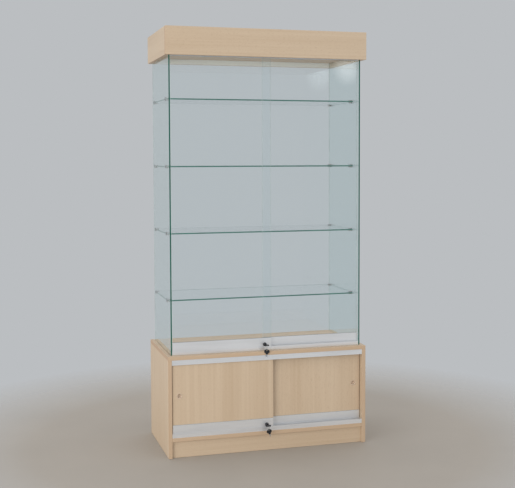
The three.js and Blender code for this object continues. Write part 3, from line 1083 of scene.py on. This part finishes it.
class DISPLAYCASE_OT_keys(bpy.types.Operator):
    """Model a key, and hang a second one from it on a wire loop, at each lock"""

    bl_idname = "displaycase.keys"
    bl_label = "Keys"

    neck_length: length_property("Neck length", "Head to the lock's face", 4 * MM)
    neck_width: length_property("Neck width", "Width of the head's neck", 9 * MM)
    blade_width: length_property("Blade width", "Width of the blade", 6 * MM)
    blade_thickness: length_property("Blade thickness", "Thickness of the blade", 1.8 * MM)
    blade_length: length_property("Blade length", "Length of the blade past the neck", 11.6 * MM)

    # How much longer than round each set's wire loop is, how far its second key swings to one
    # side, how far it is turned about its length, and what carries it.
    HANGING = {
        "cupboard": (12.5 * MM, math.radians(-14), math.radians(14), "cupboard_lock"),
        "glass": (16 * MM, math.radians(4), math.radians(-12), "glass_leaf_left"),
    }

    def execute(self, context):
        metal = context.scene.display_case.metal
        black = moulded("Black moulding", from_srgb(24, 26, 30), 0.38)
        steel = plated("Key nickel", metal.nickel, 0.2, 0.12)
        sizes = context.scene.display_case.locks
        head = self.model_head(sizes)
        blade = self.model_blade()
        for piece, material in ((head, black), (blade, steel)):
            dress(piece, material)
            smooth(piece)
        for doors in ("cupboard", "glass"):
            self.set_keys(doors, sizes, head, blade, steel)
        bpy.data.objects.remove(head)
        bpy.data.objects.remove(blade)
        return {"FINISHED"}

    def set_keys(self, doors, sizes, head, blade, steel):
        """The key in the lock, the wire loop through its head and the spare key on the loop."""
        node = f"{doors}_key"
        lock = middle(f"{doors}_lock_barrel")
        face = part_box(f"{doors}_lock_barrel")[0].y - 0.5 * MM
        seat = Vector((lock.x, face, lock.z))
        body = f"{doors}_key_set"
        hand_over(copy_of(head, f"{node}_head", seat), body, "key_plastic", node)
        hand_over(copy_of(blade, f"{node}_blade", seat), body, "clip_metal")

        stretch, swing, twist, carrier = self.HANGING[doors]
        head_end = face - self.neck_length - sizes.bow_depth
        bridge = sizes.hole_inset - sizes.hole_radius
        top = lock.z + sizes.bow_thickness / 2 + sizes.wire_radius - sizes.loop_radius
        loop_place = Vector((lock.x, head_end + bridge / 2, top))
        loop = self.model_loop(f"{doors}_key_loop", sizes, loop_place, stretch)
        finish(loop, steel, carrier, "clip_metal")

        wire_top = top - stretch - sizes.loop_radius + sizes.wire_radius
        hole = Vector((loop_place.x, loop_place.y, wire_top - sizes.hole_radius))
        hole_from_neck = self.neck_length + sizes.bow_depth - sizes.hole_inset
        upright = Matrix.Rotation(-math.pi / 2, 4, "X")
        turn = Matrix.Rotation(swing, 4, "Y") @ Matrix.Rotation(twist, 4, "Z") @ upright
        spare_seat = hole - turn @ Vector((0, -hole_from_neck, 0))
        for piece, part, slot in ((head, "head", "key_plastic"), (blade, "blade", "clip_metal")):
            spare = copy_of(piece, f"{doors}_spare_key_{part}", spare_seat, turn.to_euler())
            hand_over(spare, carrier, slot)

    def model_head(self, sizes):
        """A key's head: an oval with sunk faces, a hole and a neck. It ends at the origin."""
        let_go()
        centre = (0, -self.neck_length - sizes.bow_depth / 2, 0)
        bpy.ops.mesh.primitive_cylinder_add(
            vertices=FINE_SIDES, radius=0.5, depth=sizes.bow_thickness, location=centre
        )
        head = bpy.context.object
        head.name = "key_head"
        head.scale = (sizes.bow_width, sizes.bow_depth, 1)
        settle(head)
        select_faces(head, lambda face: abs(face.normal.z) > 0.9)
        bpy.ops.mesh.inset(thickness=2.2 * MM, use_individual=True)
        bpy.ops.transform.shrink_fatten(value=-0.35 * MM)
        bpy.ops.object.mode_set(mode="OBJECT")
        neck = add_block(
            "neck",
            (-self.neck_width / 2, centre[1] / 2 - self.neck_length / 2, -sizes.bow_thickness / 2),
            (self.neck_width / 2, 0, sizes.bow_thickness / 2),
        )
        combine(head, neck, "UNION")
        hole_place = (0, -self.neck_length - sizes.bow_depth + sizes.hole_inset, 0)
        tall = sizes.bow_thickness
        hole = add_rod("hole", sizes.hole_radius, -tall, tall, FINE_SIDES // 2, hole_place, Z_AXIS)
        combine(head, hole, "DIFFERENCE")
        round_edges(head, 0.3 * MM)
        return head

    def model_blade(self):
        """A key's blade along +Y, with a pointed tip and cuts along one edge."""
        start = -self.neck_length / 2
        half = self.blade_width / 2
        thin = self.blade_thickness / 2
        blade = add_block("key_blade", (-half, start, -thin), (half, self.blade_length, thin))
        cuts = [(half, 0.28), (half, 0.46), (half, 0.64), (half, 0.8), (half, 1.0), (-half, 1.0)]
        for side, share in cuts:
            width = 2.6 * MM if share == 1.0 else 1.3 * MM
            corner = Vector((width / 2, width / 2, width))
            notch = add_block("notch", -corner, corner)
            notch.rotation_euler = (0, 0, math.pi / 4)
            notch.location = (side, self.blade_length * share, 0)
            settle(notch)
            combine(blade, notch, "DIFFERENCE")
        return blade

    def model_loop(self, name, sizes, place, stretch):
        """A closed wire loop in the YZ plane: a ring whose lower half is drawn down."""
        let_go()
        bpy.ops.mesh.primitive_torus_add(
            major_radius=sizes.loop_radius,
            minor_radius=sizes.wire_radius,
            major_segments=FINE_SIDES,
            minor_segments=12,
            rotation=(0, math.pi / 2, 0),
        )
        loop = bpy.context.object
        loop.name = name
        settle(loop)
        select_faces(loop, lambda face: face.calc_center_median().z < 0)
        bpy.ops.transform.translate(value=(0, 0, -stretch))
        bpy.ops.object.mode_set(mode="OBJECT")
        loop.location = place
        settle(loop)
        return loop


# ------------------------------------------------------------------ canopy fittings


class DISPLAYCASE_OT_downlights(bpy.types.Operator):
    """Turn the two downlights, each with its recessed reflector and lens"""

    bl_idname = "displaycase.downlights"
    bl_label = "Downlights"

    hole_radius: length_property("Can radius", "Radius of the can in the soffit", 29 * MM)
    lens_radius: length_property("Lens radius", "Radius of the lens", 24.4 * MM)
    flange_drop: length_property("Flange", "How far the flange hangs below the soffit", 2.5 * MM)

    def execute(self, context):
        metal = context.scene.display_case.metal
        ring = plated("Brushed lamp ring", tuple(v * 0.75 for v in metal.nickel), 0.32, 0.16)
        bright, lens = self.reflector(), self.lens()
        for side in ("left", "right"):
            node = f"downlight_{side}"
            low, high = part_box(node)
            centre = middle(node)
            flange = (high.x - low.x) / 2
            tall = high.z - low.z
            inner = self.lens_radius
            lamp = add_turned(
                f"{node}_turned",
                [
                    (9 * MM, 20 * MM),
                    (17 * MM, 15 * MM),
                    (22 * MM, 9 * MM),
                    (inner, 4 * MM),
                    (inner, 2.2 * MM),
                    (inner + 2.4 * MM, 0.4 * MM),
                    (inner + 3.4 * MM, 0),
                    (flange - 1.2 * MM, 0),
                    (flange, 0.9 * MM),
                    (flange, self.flange_drop),
                    (self.hole_radius, self.flange_drop),
                    (self.hole_radius, tall - 1 * MM),
                    (self.hole_radius - 1 * MM, tall),
                ],
                ROUND_SIDES,
                (centre.x, centre.y, low.z),
                Z_AXIS,
            )
            smooth(lamp)
            dress(lamp, ring, bright)
            for face in lamp.data.polygons:
                offset = Vector((face.center.x - centre.x, face.center.y - centre.y))
                inside = offset.length < inner and face.center.z < low.z + 20.5 * MM
                face.material_index = 1 if inside else 0
            hand_over(lamp, "case", "lamp_metal", node)
            self.add_lens(f"{node}_lens", lens, centre, low.z)
        return {"FINISHED"}

    def add_lens(self, name, frosted, centre, bottom):
        radius = self.lens_radius - 0.15 * MM
        glass = add_turned(
            name,
            [
                (radius * 0.5, 2.5 * MM),
                (radius * 0.85, 2.9 * MM),
                (radius, 3.2 * MM),
                (radius, 4.0 * MM),
            ],
            ROUND_SIDES,
            (centre.x, centre.y, bottom),
            Z_AXIS,
        )
        finish(glass, frosted, "case", "clear_glass")

    def reflector(self):
        material, tree, shader = new_material("Faceted reflector", Metallic=1.0, Roughness=0.14)
        place = object_coordinates(tree)
        facets = add_node(tree, "ShaderNodeTexVoronoi", {"Vector": place, "Scale": 260.0})
        shade = spread(tree, facets.outputs["Distance"], 0.0, 0.6, 0.0, 0.5)
        paint(tree, shader, shade, (0.82, 0.82, 0.8, 1), (0.5, 0.5, 0.5, 1))
        add_bump(tree, shader, facets.outputs["Distance"], 0.6, 0.5 * MM)
        return material

    def lens(self):
        material, tree, shader = new_material(
            "Frosted lens",
            Base_Color=(0.86, 0.88, 0.86, 1),
            Roughness=0.35,
            IOR=1.5,
            Transmission_Weight=0.7,
        )
        ripple = noise(tree, object_coordinates(tree), 900.0, 2, 0.5)
        add_bump(tree, shader, ripple, 0.3, 0.1 * MM)
        return material


class DISPLAYCASE_OT_gland(bpy.types.Operator):
    """Turn the ribbed gland for the lights' lead"""

    bl_idname = "displaycase.gland"
    bl_label = "Lead gland"

    bore: length_property("Bore", "Radius of the way for the lead", 4 * MM)

    def execute(self, context):
        node = "lead_gland"
        low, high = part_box(node)
        centre = middle(node)
        flange = (high.x - low.x) / 2
        body = 8 * MM
        length = high.y - low.y
        ribs = []
        rib_count = 5
        start, end = 4.5 * MM, length - 3 * MM
        for i in range(rib_count):
            near = start + (end - start) * i / rib_count
            far = start + (end - start) * (i + 0.5) / rib_count
            ribs += [(body, near), (body, far), (body - 0.7 * MM, far + 0.3 * MM)]
            ribs += [(body - 0.7 * MM, near + (end - start) / rib_count - 0.3 * MM)]
        gland = add_turned(
            f"{node}_moulded",
            [
                (self.bore, 0),
                (flange - 1 * MM, 0),
                (flange, 1 * MM),
                (flange, 3 * MM),
                (body, 3 * MM),
                *ribs,
                (body, length - 2.6 * MM),
                (body, length - 0.8 * MM),
                (body - 0.8 * MM, length),
                (self.bore, length),
                (self.bore, 0),
            ],
            FINE_SIDES,
            (centre.x, low.y, centre.z),
            Y_AXIS,
        )
        black = moulded("Black grommet", from_srgb(34, 36, 38), 0.5)
        finish(gland, black, "case", "gland_plastic", node)
        return {"FINISHED"}


# ------------------------------------------------------------------ stage


class DISPLAYCASE_OT_stage(bpy.types.Operator):
    """Set the floor, the background, the lamps and the camera"""

    bl_idname = "displaycase.stage"
    bl_label = "Stage"

    def execute(self, context):
        settings = context.scene.display_case.stage
        context.scene.view_settings.view_transform = "Standard"
        self.add_floor(settings)
        self.set_world(context, settings)
        key = self.add_lamp(
            "Key lamp", (-5.2, -4.6, 1.1), (0, 0, 0.9), (4, 2.2), settings.key_power
        )
        key.visible_glossy = False
        key.visible_transmission = False
        window = self.add_lamp(
            "Window", (2.06, -4.5, 2.26), (0, 0, 1.7), (0.3, 0.36), settings.window_power
        )
        self.soften_lamp(window)
        self.add_camera(context)
        return {"FINISHED"}

    def add_floor(self, settings):
        """A round floor that fades into the background."""
        let_go()
        bpy.ops.mesh.primitive_circle_add(vertices=96, radius=3.4, fill_type="NGON")
        floor = bpy.context.object
        floor.name = "floor"
        floor.location.z = -0.5 * MM
        settle(floor)
        material, tree, shader = new_material("Pale floor", Roughness=0.75)
        place = object_coordinates(tree)
        clouds = noise(tree, place, 2.2, 3, 0.5)
        darker = tuple(value * 0.95 for value in settings.floor)
        share = spread(tree, clouds, 0.3, 0.7)
        paint(tree, shader, share, opaque(settings.floor), opaque(darker))
        length = add_node(tree, "ShaderNodeVectorMath", {0: place}, operation="LENGTH")
        away = length.outputs["Value"]
        seen = spread(tree, away, 1.1, 2.0, 1.0, 0.0)
        tree.links.new(seen, shader.inputs["Alpha"])
        dress(floor, material)

    def set_world(self, context, settings):
        """Even light, and the plain background that the camera, metal and glass see."""
        world = bpy.data.worlds.new("Studio")
        context.scene.world = world
        world.use_nodes = True
        tree = world.node_tree
        tree.nodes.clear()
        path = add_node(tree, "ShaderNodeLightPath")
        seen = maths(tree, "MAXIMUM", path.outputs["Is Camera Ray"], path.outputs["Is Glossy Ray"])
        seen = maths(tree, "MAXIMUM", seen, path.outputs["Is Transmission Ray"])
        place = add_node(tree, "ShaderNodeTexCoord").outputs["Generated"]
        height = add_node(tree, "ShaderNodeSeparateXYZ", {0: place}).outputs["Z"]
        strength = spread(
            tree, height, -0.3, 0.1, 0.6 * settings.sky_strength, settings.sky_strength
        )
        light = add_node(
            tree, "ShaderNodeBackground", {"Color": (1, 1, 1, 1), "Strength": strength}
        )
        wall = add_node(tree, "ShaderNodeBackground", {"Color": opaque(settings.wall)})
        mix = add_node(
            tree, "ShaderNodeMixShader", {0: seen, 1: light.outputs[0], 2: wall.outputs[0]}
        )
        add_node(tree, "ShaderNodeOutputWorld", {"Surface": mix.outputs[0]})

    def add_lamp(self, name, place, target, size, power):
        let_go()
        aim = Vector(target) - Vector(place)
        bpy.ops.object.light_add(
            type="AREA", location=place, rotation=aim.to_track_quat("-Z", "Y").to_euler()
        )
        lamp = bpy.context.object
        lamp.name = name
        lamp.data.shape = "RECTANGLE"
        lamp.data.size, lamp.data.size_y = size
        lamp.data.energy = power
        lamp.visible_camera = False
        return lamp

    def soften_lamp(self, lamp):
        """Lets the lamp's face fade towards its rim."""
        lamp.data.use_nodes = True
        tree = lamp.data.node_tree
        place = add_node(tree, "ShaderNodeNewGeometry").outputs["Parametric"]
        feeds = {0: place, 1: (0.5, 0.5, 0)}
        distance = add_node(tree, "ShaderNodeVectorMath", feeds, operation="DISTANCE")
        away = distance.outputs["Value"]
        glow = spread(tree, away, 0.15, 0.5, 1.0, 0.0)
        tree.links.new(glow, tree.nodes["Emission"].inputs["Strength"])

    def add_camera(self, context):
        """The camera stands left of the case at chest height and looks slightly down at it."""
        let_go()
        turn_right = Matrix.Rotation(math.radians(-16.447), 3, "Z")
        look_down = Matrix.Rotation(math.radians(90 - 3.369), 3, "X")
        tilt = Matrix.Rotation(math.radians(-0.162), 3, "Z")
        bpy.ops.object.camera_add(
            location=(-1.321, -4.7253, 1.3891),
            rotation=(turn_right @ look_down @ tilt).to_euler(),
        )
        camera = bpy.context.object
        camera.data.lens = 69.296
        camera.data.sensor_width = 36
        camera.data.shift_x = -0.0241
        camera.data.shift_y = -0.05
        context.scene.camera = camera


# ------------------------------------------------------------------ panel and registration

STEPS = (
    DISPLAYCASE_OT_boards,
    DISPLAYCASE_OT_glass,
    DISPLAYCASE_OT_profiles,
    DISPLAYCASE_OT_seals,
    DISPLAYCASE_OT_shelf_clips,
    DISPLAYCASE_OT_finger_cups,
    DISPLAYCASE_OT_locks,
    DISPLAYCASE_OT_keys,
    DISPLAYCASE_OT_downlights,
    DISPLAYCASE_OT_gland,
    DISPLAYCASE_OT_stage,
)


class DISPLAYCASE_PT_panel(bpy.types.Panel):
    """Lists the display case's pieces and settings"""

    bl_idname = "DISPLAYCASE_PT_panel"
    bl_label = "Display Case"
    bl_space_type = "VIEW_3D"
    bl_region_type = "UI"
    bl_category = "Display Case"

    def draw(self, context):
        case = context.scene.display_case
        for step in STEPS:
            self.layout.operator(step.bl_idname)
        for group in (case.boards, case.glass, case.metal, case.locks, case.stage):
            box = self.layout.box()
            for name in group.__annotations__:
                box.prop(group, name)


CLASSES = (
    BoardSettings,
    GlassSettings,
    MetalSettings,
    LockSettings,
    StageSettings,
    DisplayCaseSettings,
    *STEPS,
    DISPLAYCASE_PT_panel,
)


def register():
    for each in CLASSES:
        bpy.utils.register_class(each)
    bpy.types.Scene.display_case = PointerProperty(type=DisplayCaseSettings)


def unregister():
    del bpy.types.Scene.display_case
    for each in reversed(CLASSES):
        bpy.utils.unregister_class(each)


def main():
    register()
    build_wood_grain()
    build_handling()
    build_drawn_lines()
    bpy.ops.displaycase.boards()
    bpy.ops.displaycase.glass()
    bpy.ops.displaycase.profiles()
    bpy.ops.displaycase.seals()
    bpy.ops.displaycase.shelf_clips()
    bpy.ops.displaycase.finger_cups()
    bpy.ops.displaycase.locks()
    bpy.ops.displaycase.keys()
    bpy.ops.displaycase.downlights()
    bpy.ops.displaycase.gland()
    bpy.ops.displaycase.stage()


if __name__ == "__main__":
    main()
